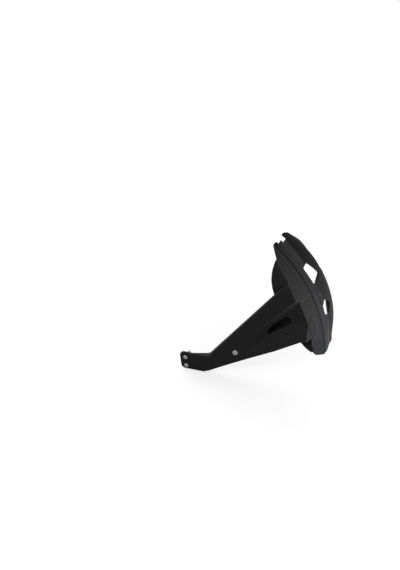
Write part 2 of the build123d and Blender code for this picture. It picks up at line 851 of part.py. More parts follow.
with BuildPart() as cover_screws:
    seat_depth = ledge_bottom + seat_gap / 2 + cover_washer_thickness
    for plane in strip_planes:
        with Locations(plane.offset(-seat_depth)):
            Cylinder(
                cover_screw_head / 2,
                cover_screw_head_height,
                align=(Align.CENTER, Align.CENTER, Align.MAX),
            )
            Cylinder(
                cover_screw_diameter / 2,
                seat_depth - insert_skin - seat_gap,
                align=(Align.CENTER, Align.CENTER, Align.MIN),
            )
        with BuildSketch(plane.offset(-seat_depth - cover_screw_head_height)):
            RegularPolygon(socket_size * cover_screw_diameter, 6, major_radius=False)
        extrude(amount=socket_depth * cover_screw_head_height, mode=Mode.SUBTRACT)
cover_screws.part.label = "cover_screws"
export_step(cover_screws.part, "parts/cover_screws.step")

flank_screws = button_bolt(
    [plane.offset(-flank_seat_depth) for plane in flank_planes],
    flank_screw_diameter,
    flank_screw_head,
    flank_screw_head_height,
    flank_screw_reach,
)
flank_screws.label = "flank_screws"
export_step(flank_screws, "parts/flank_screws.step")
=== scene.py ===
import json
import logging
import math
from dataclasses import dataclass
from enum import Enum
from typing import Any, ClassVar

import bpy
import numpy as np
from mathutils import Matrix, Vector


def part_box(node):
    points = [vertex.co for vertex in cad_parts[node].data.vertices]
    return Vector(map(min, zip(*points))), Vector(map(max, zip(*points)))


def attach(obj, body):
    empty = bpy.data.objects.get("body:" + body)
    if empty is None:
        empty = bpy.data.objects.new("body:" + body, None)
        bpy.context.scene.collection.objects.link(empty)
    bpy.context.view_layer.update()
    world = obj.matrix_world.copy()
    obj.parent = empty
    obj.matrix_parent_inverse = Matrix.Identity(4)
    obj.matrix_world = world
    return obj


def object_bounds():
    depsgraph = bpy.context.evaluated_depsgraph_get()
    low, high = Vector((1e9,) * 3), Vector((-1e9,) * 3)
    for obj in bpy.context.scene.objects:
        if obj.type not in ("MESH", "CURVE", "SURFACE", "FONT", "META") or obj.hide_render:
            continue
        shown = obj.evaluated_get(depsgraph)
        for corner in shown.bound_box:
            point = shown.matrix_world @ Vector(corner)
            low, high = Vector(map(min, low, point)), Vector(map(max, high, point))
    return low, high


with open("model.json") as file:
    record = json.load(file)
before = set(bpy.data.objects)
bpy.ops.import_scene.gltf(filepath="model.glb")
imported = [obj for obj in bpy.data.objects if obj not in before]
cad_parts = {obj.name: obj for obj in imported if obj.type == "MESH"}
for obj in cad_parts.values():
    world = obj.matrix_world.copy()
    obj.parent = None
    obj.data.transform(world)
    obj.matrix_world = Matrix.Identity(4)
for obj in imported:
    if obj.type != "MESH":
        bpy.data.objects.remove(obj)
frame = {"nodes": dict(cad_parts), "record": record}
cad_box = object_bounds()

log = logging.getLogger("mudguard")

Colour = tuple[float, float, float]
Point = tuple[float, float, float]
Socket = bpy.types.NodeSocket

MILLIMETRE = 0.001
PICTURE_WIDTH = 400
WHITE: Colour = (1.0, 1.0, 1.0)
ROUNDING_SAMPLES = 6
OPENNESS_SAMPLES = 8


class Slot(Enum):
    """Material slots of the part's record."""

    BODY_PLASTIC = "body_plastic"
    COVER_PLASTIC = "cover_plastic"
    BRACKET_STEEL = "bracket_steel"
    ZINC_STEEL = "zinc_steel"
    BLACK_STEEL = "black_steel"
    PLAIN_STEEL = "plain_steel"
    INSERT_BRASS = "insert_brass"


class SocketKind(Enum):
    """Types of a node group's sockets."""

    VECTOR = "NodeSocketVector"
    VALUE = "NodeSocketFloat"


class Easing(Enum):
    """How a mask goes from nought to one."""

    STRAIGHT = "LINEAR"
    SOFT = "SMOOTHSTEP"


class MouldFace(Enum):
    """Whether a moulded piece has one tone, or painted shade on the cover's leaf-shaped top and painted
    light on its flanks.
    """

    PLAIN = "plain"
    PAINTED_SHADE_AND_LIGHT = "panelled"


def opaque(colour: Colour) -> tuple[float, float, float, float]:
    """The colour with full alpha."""
    return (*colour, 1.0)


class NodePen:
    """Adds nodes to one node tree and links their sockets."""

    MIX_SHARE: ClassVar[int] = 0
    MIX_UNDER: ClassVar[int] = 6
    MIX_OVER: ClassVar[int] = 7
    MIX_RESULT: ClassVar[int] = 2

    def __init__(self, tree: bpy.types.NodeTree) -> None:
        """Keep the tree that is drawn on."""
        self.tree = tree

    def add(self, kind: str, inputs: dict | None = None, **settings: Any) -> bpy.types.Node:
        """Add one node.

        Args:
            kind: Type of the node.
            inputs: Values or source sockets, by socket name or number.
            settings: Attributes of the node.

        Returns:
            The new node.
        """
        node = self.tree.nodes.new(kind)
        for name, value in settings.items():
            setattr(node, name, value)
        for name, value in (inputs or {}).items():
            self.feed(node.inputs[name], value)
        return node

    def feed(self, socket: Socket, value: Any) -> None:
        """Link a source socket to a socket, or set the socket's value.

        Args:
            socket: Socket that is fed.
            value: Source socket, or a value of the socket's own type.
        """
        if isinstance(value, Socket):
            self.tree.links.new(value, socket)
        else:
            socket.default_value = value

    def group(self, tree: bpy.types.NodeTree, **inputs: Any) -> bpy.types.bpy_prop_collection:
        """Place a shared node group, feed its inputs by name and return its outputs."""
        return self.add("ShaderNodeGroup", inputs, node_tree=tree).outputs

    def math(self, operation: str, *values: float | Socket) -> Socket:
        """Add a math node.

        Args:
            operation: Name of the operation.
            values: Numbers or source sockets.

        Returns:
            The result.
        """
        node = self.add("ShaderNodeMath", operation=operation)
        for socket, value in zip(node.inputs, values):
            self.feed(socket, value)
        return node.outputs[0]

    def dot(self, first: Socket, second: Socket | Vector) -> Socket:
        """Dot product of two vectors."""
        node = self.add("ShaderNodeVectorMath", {0: first, 1: second}, operation="DOT_PRODUCT")
        return node.outputs["Value"]

    def blend(self, share: Socket, under: Socket | Colour, over: Colour) -> Socket:
        """Lay a colour over another.

        Args:
            share: Share of the upper colour.
            under: Lower colour, or a socket that gives it.
            over: Upper colour.

        Returns:
            The mixed colour.
        """
        node = self.add("ShaderNodeMix", data_type="RGBA")
        self.feed(node.inputs[self.MIX_SHARE], share)
        self.feed(node.inputs[self.MIX_UNDER], under if isinstance(under, Socket) else opaque(under))
        self.feed(node.inputs[self.MIX_OVER], opaque(over))
        return node.outputs[self.MIX_RESULT]

    def stretch(
        self, value: Socket, low: float, high: float | Socket, easing: Easing = Easing.STRAIGHT
    ) -> Socket:
        """Make a mask of a value, nought at low and one at high."""
        inputs = {"Value": value, "From Min": low, "From Max": high}
        return self.add("ShaderNodeMapRange", inputs, interpolation_type=easing.value).outputs[0]

    def span(self, mask: Socket, low: float, high: float) -> Socket:
        """Map a mask to low where it is nought and high where it is one."""
        return self.add("ShaderNodeMapRange", {"Value": mask, "To Min": low, "To Max": high}).outputs[0]

    def noise(self, place: Socket, scale: float | Socket, detail: float, distortion: float = 0.0) -> Socket:
        """Value of a soft noise at a place."""
        return self.noise_node(place, scale, detail, distortion).outputs[0]

    def noise_node(
        self, place: Socket, scale: float | Socket, detail: float, distortion: float = 0.0
    ) -> bpy.types.Node:
        """Add a soft noise.

        Args:
            place: Where the noise is read.
            scale: Waves to the metre.
            detail: Octaves of finer noise.
            distortion: How far the noise is bent.

        Returns:
            The noise node, with a value and a colour.
        """
        inputs = {"Vector": place, "Scale": scale, "Detail": detail, "Distortion": distortion}
        return self.add("ShaderNodeTexNoise", inputs)

    def rounded(self, radius: float) -> Socket:
        """Normal of the surface with its edges rounded by a radius."""
        return self.add("ShaderNodeBevel", {"Radius": radius}, samples=ROUNDING_SAMPLES).outputs[0]

    def finish(self, shader: bpy.types.Node, kind: str = "ShaderNodeOutputMaterial") -> None:
        """Lead a shader to the tree's output."""
        self.add(kind, {"Surface": shader.outputs[0]})


def new_material(name: str) -> tuple[bpy.types.Material, NodePen]:
    """Start an empty material.

    Args:
        name: Name of the material.

    Returns:
        The material and a pen on its nodes.
    """
    material = bpy.data.materials.new(name)
    material.use_nodes = True
    material.node_tree.nodes.clear()
    return material, NodePen(material.node_tree)


@dataclass(frozen=True)
class BladeFrame:
    """Axis about which the blade and its cover are turned, and the outlines of the painted shade and light
    on the cover.
    """

    centre: Point = (-0.0592, 0.1188, 0.0184)
    tilt: float = math.radians(4.0)
    mid_angle: float = math.radians(25.0)
    leaf_half_width: float = 38.0 * MILLIMETRE
    leaf_start: float = math.radians(-32.0)
    leaf_end: float = math.radians(28.0)
    strip_half_width: float = 46.0 * MILLIMETRE
    groove_half_width: float = 62.0 * MILLIMETRE
    groove_shade_reach: float = 3.4 * MILLIMETRE
    flank_fade_low: float = math.radians(-14.0)
    flank_fade_high: float = math.radians(10.0)
    crease_softness: float = 0.6 * MILLIMETRE

    def directions(self) -> tuple[Vector, Vector, Vector]:
        """Work out the blade's own axes.

        Returns:
            Unit vectors across the blade, outward at its middle, and up along it.
        """
        middle = Vector((math.cos(self.mid_angle), 0.0, math.sin(self.mid_angle)))
        up = Vector((-middle.z, 0.0, middle.x))
        far_side = Vector((0.0, 1.0, 0.0))
        across = far_side * math.cos(self.tilt) - middle * math.sin(self.tilt)
        outward = middle * math.cos(self.tilt) + far_side * math.sin(self.tilt)
        return across, outward, up


@dataclass(frozen=True)
class Effect:
    """A shader node group that several finishes share."""

    name: ClassVar[str]
    inputs: ClassVar[dict[str, SocketKind]]
    outputs: ClassVar[tuple[str, ...]]

    def build(self) -> bpy.types.NodeTree:
        """Make the group's sockets and draw its nodes.

        Returns:
            The finished group.
        """
        tree = bpy.data.node_groups.new(self.name, "ShaderNodeTree")
        for label, kind in self.inputs.items():
            tree.interface.new_socket(label, in_out="INPUT", socket_type=kind.value)
        for label in self.outputs:
            tree.interface.new_socket(label, in_out="OUTPUT", socket_type=SocketKind.VALUE.value)
        pen = NodePen(tree)
        entry = pen.add("NodeGroupInput")
        drawn = self.draw(pen, {socket.name: socket for socket in entry.outputs if socket.name})
        pen.add("NodeGroupOutput", drawn)
        return tree

    def draw(self, pen: NodePen, entry: dict[str, Socket]) -> dict[str, Socket]:
        """Draw the group's nodes, which each effect does in its own way.

        Args:
            pen: Pen on the group.
            entry: The group's inputs by name.

        Returns:
            The group's outputs by name.
        """
        raise NotImplementedError


@dataclass(frozen=True)
class MouldedGrain(Effect):
    """Leather-like grain of a textured mould: pebbles with fine noise between them."""

    name: ClassVar[str] = "moulded_grain"
    inputs: ClassVar[dict[str, SocketKind]] = {"Vector": SocketKind.VECTOR, "Scale": SocketKind.VALUE}
    outputs: ClassVar[tuple[str, ...]] = ("Height", "Fleck")
    warp: float = 1.0 * MILLIMETRE
    warp_detail: float = 2.0
    fine_ratio: float = 2.6
    fine_detail: float = 4.0
    fine_share: float = 0.6

    def draw(self, pen: NodePen, entry: dict[str, Socket]) -> dict[str, Socket]:
        """Bend the place, lay the pebbles there and take them from the fine noise.

        Args:
            pen: Pen on the group.
            entry: Place and pebbles to the metre.

        Returns:
            Height of the grain and a fleck of fine noise.
        """
        place = entry["Vector"]
        scale = entry["Scale"]
        bend = pen.noise_node(place, scale, self.warp_detail).outputs["Color"]
        bent = pen.add(
            "ShaderNodeVectorMath",
            {0: bend, 1: (self.warp, self.warp, self.warp), 2: place},
            operation="MULTIPLY_ADD",
        )
        cells = {"Vector": bent.outputs[0], "Scale": scale}
        pebbles = pen.add("ShaderNodeTexVoronoi", cells, feature="SMOOTH_F1").outputs["Distance"]
        fine = pen.noise(place, pen.math("MULTIPLY", scale, self.fine_ratio), self.fine_detail)
        height = pen.math("SUBTRACT", pen.math("MULTIPLY", fine, self.fine_share), pebbles)
        return {"Height": height, "Fleck": fine}


@dataclass(frozen=True)
class SurfaceFilm(Effect):
    """Uneven sheen: broad soft patches, and dust that lies on upward faces."""

    name: ClassVar[str] = "surface_film"
    inputs: ClassVar[dict[str, SocketKind]] = {
        "Vector": SocketKind.VECTOR,
        "Normal": SocketKind.VECTOR,
        "Scale": SocketKind.VALUE,
    }
    outputs: ClassVar[tuple[str, ...]] = ("Patch", "Dust")
    patch_detail: float = 3.0
    patch_distortion: float = 0.6
    patch_low: float = 0.35
    patch_high: float = 0.65
    speck_ratio: float = 40.0
    speck_detail: float = 5.0
    speck_low: float = 0.42
    speck_high: float = 0.7
    level_low: float = 0.15
    level_high: float = 0.95

    def draw(self, pen: NodePen, entry: dict[str, Socket]) -> dict[str, Socket]:
        """Lay patches, and specks of dust in them where the surface looks up.

        Args:
            pen: Pen on the group.
            entry: Place, normal and patches to the metre.

        Returns:
            Masks of the patches and of the dust.
        """
        place = entry["Vector"]
        scale = entry["Scale"]
        broad = pen.noise(place, scale, self.patch_detail, self.patch_distortion)
        patch = pen.stretch(broad, self.patch_low, self.patch_high, Easing.SOFT)
        speck = pen.noise(place, pen.math("MULTIPLY", scale, self.speck_ratio), self.speck_detail)
        upward = pen.add("ShaderNodeSeparateXYZ", {0: entry["Normal"]}).outputs["Z"]
        level = pen.stretch(upward, self.level_low, self.level_high)
        thick = pen.stretch(speck, self.speck_low, self.speck_high)
        dust = pen.math("MULTIPLY", level, pen.math("MULTIPLY", thick, patch))
        return {"Patch": patch, "Dust": dust}


@dataclass(frozen=True)
class EdgeCatch(Effect):
    """Mask of the outer edges, where the rounded normal leaves the flat one and nothing stands near: it
    places painted edge highlights on the plastic, and edge wear with painted highlight on the fixings.
    """

    name: ClassVar[str] = "edge_catch"
    inputs: ClassVar[dict[str, SocketKind]] = {
        "Rounded": SocketKind.VECTOR,
        "Flat": SocketKind.VECTOR,
        "Open": SocketKind.VALUE,
        "Full": SocketKind.VALUE,
    }
    outputs: ClassVar[tuple[str, ...]] = ("Mask",)
    turn_start: float = 0.003
    open_low: float = 0.78
    open_high: float = 0.96

    def draw(self, pen: NodePen, entry: dict[str, Socket]) -> dict[str, Socket]:
        """Compare the two normals and keep what lies open.

        Args:
            pen: Pen on the group.
            entry: The two normals, how open the place is, and the turn at which the mask is full.

        Returns:
            The mask.
        """
        turned = pen.math("SUBTRACT", 1.0, pen.dot(entry["Rounded"], entry["Flat"]))
        sharp = pen.stretch(turned, self.turn_start, entry["Full"])
        outer = pen.stretch(entry["Open"], self.open_low, self.open_high)
        return {"Mask": pen.math("MULTIPLY", sharp, outer)}


@dataclass(frozen=True)
class TurnedLines(Effect):
    """Fine lines and scuffs of a turned or plated fixing."""

    name: ClassVar[str] = "turned_lines"
    inputs: ClassVar[dict[str, SocketKind]] = {"Vector": SocketKind.VECTOR, "Scale": SocketKind.VALUE}
    outputs: ClassVar[tuple[str, ...]] = ("Height", "Scuff")
    line_detail: float = 2.0
    scuff_ratio: float = 0.12
    scuff_detail: float = 4.0

    def draw(self, pen: NodePen, entry: dict[str, Socket]) -> dict[str, Socket]:
        """Lay the fine marks, and scuffs that are several times as broad.

        Args:
            pen: Pen on the group.
            entry: Place and marks to the metre.

        Returns:
            Height of the marks and value of the scuffs.
        """
        place = entry["Vector"]
        scale = entry["Scale"]
        lines = pen.noise(place, scale, self.line_detail)
        scuff = pen.noise(place, pen.math("MULTIPLY", scale, self.scuff_ratio), self.scuff_detail)
        return {"Height": lines, "Scuff": scuff}


@dataclass(frozen=True)
class CoverPaintedLight(Effect):
    """Masks for painted shade on the cover's leaf-shaped top, painted light on its flanks, and painted shade
    along its groove.
    """

    name: ClassVar[str] = "cover_painted_light"
    inputs: ClassVar[dict[str, SocketKind]] = {"Vector": SocketKind.VECTOR}
    outputs: ClassVar[tuple[str, ...]] = ("PaintedRoofShade", "PaintedFlankLight", "PaintedGrooveShade")
    blade: BladeFrame = BladeFrame()

    def draw(self, pen: NodePen, entry: dict[str, Socket]) -> dict[str, Socket]:
        """Draw the three masks in the blade's own axes.

        At an angle a up the blade, the leaf's half width is widest * sin(pi (a - start) / (end - start)).
        The flanks fill the rest, up to the strips' inner edge, and fade out down the blade. The shade is
        one on the groove and nought at its reach on both sides.

        Args:
            pen: Pen on the group.
            entry: Place on the part.

        Returns:
            Masks of the painted shade on the leaf, the painted light on the flanks and the painted shade by
            the groove.
        """
        blade = self.blade
        soft = blade.crease_softness
        place = pen.add("ShaderNodeVectorMath", {0: entry["Vector"], 1: blade.centre}, operation="SUBTRACT")
        across, outward, up = (pen.dot(place.outputs[0], direction) for direction in blade.directions())
        angle = pen.math("ARCTAN2", up, outward)
        from_start = pen.math("SUBTRACT", angle, blade.leaf_start)
        turn = pen.math("MULTIPLY", from_start, math.pi / (blade.leaf_end - blade.leaf_start))
        half_width = pen.math("MULTIPLY", pen.math("SINE", turn), blade.leaf_half_width)
        offset = pen.math("ABSOLUTE", across)
        painted_roof_shade = pen.stretch(pen.math("SUBTRACT", half_width, offset), -soft, soft)
        middle = pen.stretch(pen.math("SUBTRACT", blade.strip_half_width, offset), -soft, soft)
        beside_roof = pen.math("MAXIMUM", pen.math("SUBTRACT", middle, painted_roof_shade), 0.0)
        fade = pen.stretch(angle, blade.flank_fade_low, blade.flank_fade_high)
        from_groove = pen.math("ABSOLUTE", pen.math("SUBTRACT", offset, blade.groove_half_width))
        shade = pen.stretch(from_groove, blade.groove_shade_reach, 0.0, Easing.SOFT)
        return {"PaintedRoofShade": painted_roof_shade, "PaintedFlankLight": pen.math("MULTIPLY", beside_roof, fade), "PaintedGrooveShade": shade}


@dataclass(frozen=True)
class Effects:
    """The shared node groups, each built once."""

    grain: bpy.types.NodeTree
    film: bpy.types.NodeTree
    edge: bpy.types.NodeTree
    turning: bpy.types.NodeTree
    panels: bpy.types.NodeTree

    @classmethod
    def make(cls) -> "Effects":
        """Build every group.

        Returns:
            The groups.
        """
        return cls(
            grain=MouldedGrain().build(),
            film=SurfaceFilm().build(),
            edge=EdgeCatch().build(),
            turning=TurnedLines().build(),
            panels=CoverPaintedLight().build(),
        )


@dataclass(frozen=True)
class Finish:
    """What every finish has: a slot, a colour and an uneven roughness."""

    slot: Slot
    colour: Colour
    roughness: float
    roughness_spread: float

    def uneven_roughness(self, pen: NodePen, mask: Socket) -> Socket:
        """Roughness that goes from the low to the high end of its spread with a mask."""
        return pen.span(mask, self.roughness - self.roughness_spread, self.roughness + self.roughness_spread)

    def material(self, effects: Effects) -> bpy.types.Material:
        """Build the material, which each kind of finish does in its own way.

        Args:
            effects: Shared node groups.

        Returns:
            The finished material.
        """
        raise NotImplementedError


@dataclass(frozen=True)
class PlasticMasks:
    """Masks by which a moulded piece's colours are laid over each other, among them those that place painted
    light and shade.
    """

    mottle: Socket
    # flanks and the leaf-shaped top: painted light and painted shade on the cover
    painted_flank_light: Socket
    painted_roof_shade: Socket
    # painted shade along the groove, painted edge highlights, and openness for painted shade in recesses
    groove: Socket
    edge: Socket
    openness: Socket
    dust: Socket


@dataclass(frozen=True)
class PlasticFinish(Finish):
    """Matte moulded plastic with a fine grain, painted highlights on its outer edges, painted shade in
    recesses and along the groove, painted shade and light in parts of the cover, and a little dust.
    """

    pale: Colour
    # colour of the painted edge highlight
    edge: Colour
    specular: float
    grain_scale: float
    grain_depth: float
    edge_radius: float
    edge_highlight_share: float
    face: MouldFace = MouldFace.PLAIN
    grain_strength: float = 0.55
    film_scale: float = 14.0
    # radius and turn of the mask for the painted edge highlight
    highlight_radius: float = 3.0 * MILLIMETRE
    edge_mask_turn: float = 0.05
    # painted shade on the cover's leaf-shaped top, painted light on its flanks, painted shade in recesses
    # and along the groove
    painted_roof_shade: Colour = (0.02, 0.0202, 0.0212)
    painted_flank_light: Colour = (0.044, 0.0443, 0.0465)
    painted_recess_shade: Colour = (0.006, 0.006, 0.0064)
    recess_shade_share: float = 0.5
    recess_reach: float = 14.0 * MILLIMETRE
    groove_shade_share: float = 0.62
    dust: Colour = (0.11, 0.105, 0.1)
    dust_share: float = 0.1
    dust_roughness: float = 0.3

    def tint(self, pen: NodePen, masks: PlasticMasks) -> Socket:
        """Lay the colours over each other, from the plain plastic through the painted light and shade up to
        the dust.

        Args:
            pen: Pen on the material.
            masks: Where each colour lies.

        Returns:
            The surface's colour.
        """
        colour = pen.blend(masks.mottle, self.colour, self.pale)
        # painted light on the cover's flanks, painted shade on its leaf-shaped top
        if self.face is MouldFace.PAINTED_SHADE_AND_LIGHT:
            colour = pen.blend(masks.painted_flank_light, colour, self.painted_flank_light)
            colour = pen.blend(masks.painted_roof_shade, colour, self.painted_roof_shade)
        # painted highlight on outer edges, kept off the groove
        off_groove = pen.math("SUBTRACT", 1.0, masks.groove)
        edge_highlight_share = pen.math("MULTIPLY", pen.math("MULTIPLY", masks.edge, off_groove), self.edge_highlight_share)
        colour = pen.blend(edge_highlight_share, colour, self.edge)
        # painted shade in recesses, from ambient occlusion, and along the groove
        closed = pen.math("SUBTRACT", 1.0, masks.openness)
        groove = pen.math("MULTIPLY", masks.groove, self.groove_shade_share)
        painted_shade_share = pen.math("MAXIMUM", pen.math("MULTIPLY", closed, self.recess_shade_share), groove)
        colour = pen.blend(painted_shade_share, colour, self.painted_recess_shade)
        return pen.blend(masks.dust, colour, self.dust)

    def material(self, effects: Effects) -> bpy.types.Material:
        """Build the material.

        Args:
            effects: Shared node groups.

        Returns:
            The finished material.
        """
        material, pen = new_material(self.slot.value)
        place = pen.add("ShaderNodeTexCoord").outputs["Object"]
        flat = pen.add("ShaderNodeNewGeometry").outputs["Normal"]
        # ambient occlusion, which places painted shade in recesses and keeps painted highlights off inner
        # edges
        surroundings = pen.add(
            "ShaderNodeAmbientOcclusion", {"Distance": self.recess_reach}, samples=OPENNESS_SAMPLES
        )
        openness = surroundings.outputs["AO"]
        grain = pen.group(effects.grain, Vector=place, Scale=self.grain_scale)
        film = pen.group(effects.film, Vector=place, Normal=flat, Scale=self.film_scale)
        panels = pen.group(effects.panels, Vector=place)
        # rounded normal from which the painted edge highlight is found
        wear_and_highlight = pen.rounded(self.highlight_radius)
        edge = pen.group(effects.edge, Rounded=wear_and_highlight, Flat=flat, Open=openness, Full=self.edge_mask_turn)
        masks = PlasticMasks(
            mottle=pen.math("MULTIPLY", film["Patch"], grain["Fleck"]),
            painted_flank_light=panels["PaintedFlankLight"],
            painted_roof_shade=panels["PaintedRoofShade"],
            groove=panels["PaintedGrooveShade"],
            edge=edge["Mask"],
            openness=openness,
            dust=pen.math("MULTIPLY", film["Dust"], self.dust_share),
        )
        dulled = pen.math("MULTIPLY", masks.dust, self.dust_roughness)
        bump = pen.add(
            "ShaderNodeBump",
            {
                "Strength": self.grain_strength,
                "Distance": self.grain_depth,
                "Height": grain["Height"],
                "Normal": pen.rounded(self.edge_radius),
            },
        )
        shader = pen.add(
            "ShaderNodeBsdfPrincipled",
            {
                "Base Color": self.tint(pen, masks),
                "Roughness": pen.math("ADD", self.uneven_roughness(pen, film["Patch"]), dulled),
                "Normal": bump.outputs[0],
                "Specular IOR Level": self.specular,
            },
        )
        pen.finish(shader)
        return material


@dataclass(frozen=True)
class MetalFinish(Finish):
    """Plated, turned or coated metal of a fixing, lighter at its edges, as wear and painted highlight, and
    lighter from wear in its scuffs.
    """

    # colour of the edges, as wear with painted highlight, and of the scuffs
    wear_and_highlight: Colour
    metallic: float
    line_scale: float
    line_depth: float
    line_strength: float = 0.4
    edge_radius: float = 0.25 * MILLIMETRE
    edge_mask_turn: float = 0.16
    scuff_low: float = 0.4
    scuff_high: float = 0.7
    scuff_share: float = 0.6

    def material(self, effects: Effects) -> bpy.types.Material:
        """Build the material.

        Args:
            effects: Shared node groups.

        Returns:
            The finished material.
        """
        material, pen = new_material(self.slot.value)
        place = pen.add("ShaderNodeTexCoord").outputs["Object"]
        flat = pen.add("ShaderNodeNewGeometry").outputs["Normal"]
        rounded = pen.rounded(self.edge_radius)
        lines = pen.group(effects.turning, Vector=place, Scale=self.line_scale)
        # edges lighter as wear with painted highlight, joined with the scuffs
        edge = pen.group(effects.edge, Rounded=rounded, Flat=flat, Open=1.0, Full=self.edge_mask_turn)
        scuff = pen.stretch(lines["Scuff"], self.scuff_low, self.scuff_high)
        wear_and_highlight = pen.math("MAXIMUM", edge["Mask"], pen.math("MULTIPLY", scuff, self.scuff_share))
        bump = pen.add(
            "ShaderNodeBump",
            {
                "Strength": self.line_strength,
                "Distance": self.line_depth,
                "Height": lines["Height"],
                "Normal": rounded,
            },
        )
        shader = pen.add(
            "ShaderNodeBsdfPrincipled",
            {
                "Base Color": pen.blend(wear_and_highlight, self.colour, self.wear_and_highlight),
                "Metallic": self.metallic,
                "Roughness": self.uneven_roughness(pen, scuff),
                "Normal": bump.outputs[0],
            },
        )
        pen.finish(shader)
        return material


BODY_FINISH = PlasticFinish(
    slot=Slot.BODY_PLASTIC,
    colour=(0.038, 0.0383, 0.04),
    pale=(0.048, 0.0484, 0.0502),
    # painted edge highlight colour
    edge=(0.1, 0.1, 0.103),
    roughness=0.66,
    roughness_spread=0.06,
    specular=0.02,
    grain_scale=900.0,
    grain_depth=0.05 * MILLIMETRE,
    edge_radius=1.6 * MILLIMETRE,
    edge_highlight_share=0.9,
)
COVER_FINISH = PlasticFinish(
    slot=Slot.COVER_PLASTIC,
    colour=(0.033, 0.0332, 0.0349),
    pale=(0.041, 0.0413, 0.0432),
    # painted edge highlight colour
    edge=(0.09, 0.09, 0.094),
    roughness=0.62,
    roughness_spread=0.06,
    specular=0.02,
    grain_scale=1050.0,
    grain_depth=0.04 * MILLIMETRE,
    edge_radius=1.2 * MILLIMETRE,
    edge_highlight_share=0.5,
    # painted shade on the leaf-shaped top and painted light on the flanks
    face=MouldFace.PAINTED_SHADE_AND_LIGHT,
)
# each fixing's lighter edge colour is wear with painted highlight
BRACKET_FINISH = MetalFinish(
    slot=Slot.BRACKET_STEEL,
    colour=(0.017, 0.017, 0.018),
    wear_and_highlight=(0.04, 0.04, 0.042),
    roughness=0.46,
    roughness_spread=0.06,
    metallic=0.0,
    line_scale=700.0,
    line_depth=0.03 * MILLIMETRE,
)
ZINC_FINISH = MetalFinish(
    slot=Slot.ZINC_STEEL,
    colour=(0.28, 0.28, 0.275),
    wear_and_highlight=(0.4, 0.4, 0.39),
    roughness=0.3,
    roughness_spread=0.07,
    metallic=1.0,
    line_scale=1800.0,
    line_depth=0.02 * MILLIMETRE,
)
BLACK_FINISH = MetalFinish(
    slot=Slot.BLACK_STEEL,
    colour=(0.012, 0.012, 0.012),
    wear_and_highlight=(0.05, 0.05, 0.05),
    roughness=0.4,
    roughness_spread=0.08,
    metallic=0.6,
    line_scale=1500.0,
    line_depth=0.02 * MILLIMETRE,
)
PLAIN_FINISH = MetalFinish(
    slot=Slot.PLAIN_STEEL,
    colour=(0.45, 0.45, 0.44),
    wear_and_highlight=(0.6, 0.6, 0.58),
    roughness=0.36,
    roughness_spread=0.06,
    metallic=1.0,
    line_scale=1600.0,
    line_depth=0.02 * MILLIMETRE,
)
BRASS_FINISH = MetalFinish(
    slot=Slot.INSERT_BRASS,
    colour=(0.6, 0.42, 0.17),
    wear_and_highlight=(0.75, 0.58, 0.28),
    roughness=0.34,
    roughness_spread=0.06,
    metallic=1.0,
    line_scale=1600.0,
    line_depth=0.02 * MILLIMETRE,
)
FINISHES: tuple[Finish, ...] = (
    BODY_FINISH,
    COVER_FINISH,
    BRACKET_FINISH,
    ZINC_FINISH,
    BLACK_FINISH,
    PLAIN_FINISH,
    BRASS_FINISH,
)


def ridge_object(name: str, grid: np.ndarray, material: bpy.types.Material) -> bpy.types.Object:
    """Make a tube-like mesh from a grid of points.

    The face at step i along the tube and step j round its section joins the points (i, j), (i, j + 1),
    (i + 1, j + 1) and (i + 1, j), with j counted round the section.

    Args:
        name: Name of the piece.
        grid: Points by step along the piece and step round its section.
        material: Finish of the piece.

    Returns:
        The new object, at the origin.
    """
    steps, sides = grid.shape[:2]
    along, around = np.meshgrid(np.arange(steps - 1), np.arange(sides), indexing="ij")
    following = (around + 1) % sides
    here = along * sides
    beyond = here + sides
    corners = (here + around, here + following, beyond + following, beyond + around)
    faces = np.stack([corner.ravel() for corner in corners], axis=1)
    mesh = bpy.data.meshes.new(name)
    mesh.from_pydata(grid.reshape(-1, 3), [], faces.tolist())
    mesh.materials.append(material)
    mesh.shade_smooth()
    piece = bpy.data.objects.new(name, mesh)
    bpy.context.scene.collection.objects.link(piece)
    return piece


@dataclass
class ThreadedEnd:
    """Helical ridge on the free end of a bolt."""

    name: str
    start: np.ndarray
    axis: np.ndarray
    root_radius: float
    crest_radius: float
    pitch: float
    length: float
    steps_per_turn: int = 28
    sink: float = 0.15 * MILLIMETRE
    run_out: float = math.pi
    section_rise: tuple[float, ...] = (0.0, 1.0, 1.0, 0.0)
    section_width: tuple[float, ...] = (0.06, 0.42, 0.58, 0.94)
    side_guide: Point = (0.3, 0.2, 1.0)

    def grid(self) -> np.ndarray:
        """Work out the ridge.

        The ridge's point at turn angle a and section step s is start + axis * (pitch * a / 2 pi +
        width(s)) + (cos a * side + sin a * other) * radius(s), where radius(s) goes from below the
        root to the crest and back, and rises and falls away over the first and last half turn.

        Returns:
            Points by step along the helix and step round the section.
        """
        full_turn = 2.0 * math.pi
        turns = self.length / self.pitch - 1.0
        angle = np.linspace(0.0, full_turn * turns, int(turns * self.steps_per_turn) + 1)
        ramp = np.clip(np.minimum(angle, angle[-1] - angle) / self.run_out, 0.0, 1.0)
        sunk = self.root_radius - self.sink
        rise = np.array(self.section_rise)
        width = self.pitch * np.array(self.section_width)
        radius = sunk + (self.crest_radius - sunk) * rise[None, :] * ramp[:, None]
        side = np.cross(self.axis, np.array(self.side_guide))
        side /= np.linalg.norm(side)
        other = np.cross(self.axis, side)
        out = np.cos(angle)[:, None] * side + np.sin(angle)[:, None] * other
        climb = self.pitch * angle[:, None] / full_turn + width[None, :]
        return self.start + climb[:, :, None] * self.axis + radius[:, :, None] * out[:, None, :]

    def build(self, material: bpy.types.Material, slot: Slot) -> bpy.types.Object:
        """Make the ridge and let it ride on the body.

        Args:
            material: Finish of the bolt.
            slot: Slot that the finish belongs to; not used.

        Returns:
            The new piece.
        """
        piece = ridge_object(self.name, self.grid(), material)
        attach(piece, "root")
        return piece


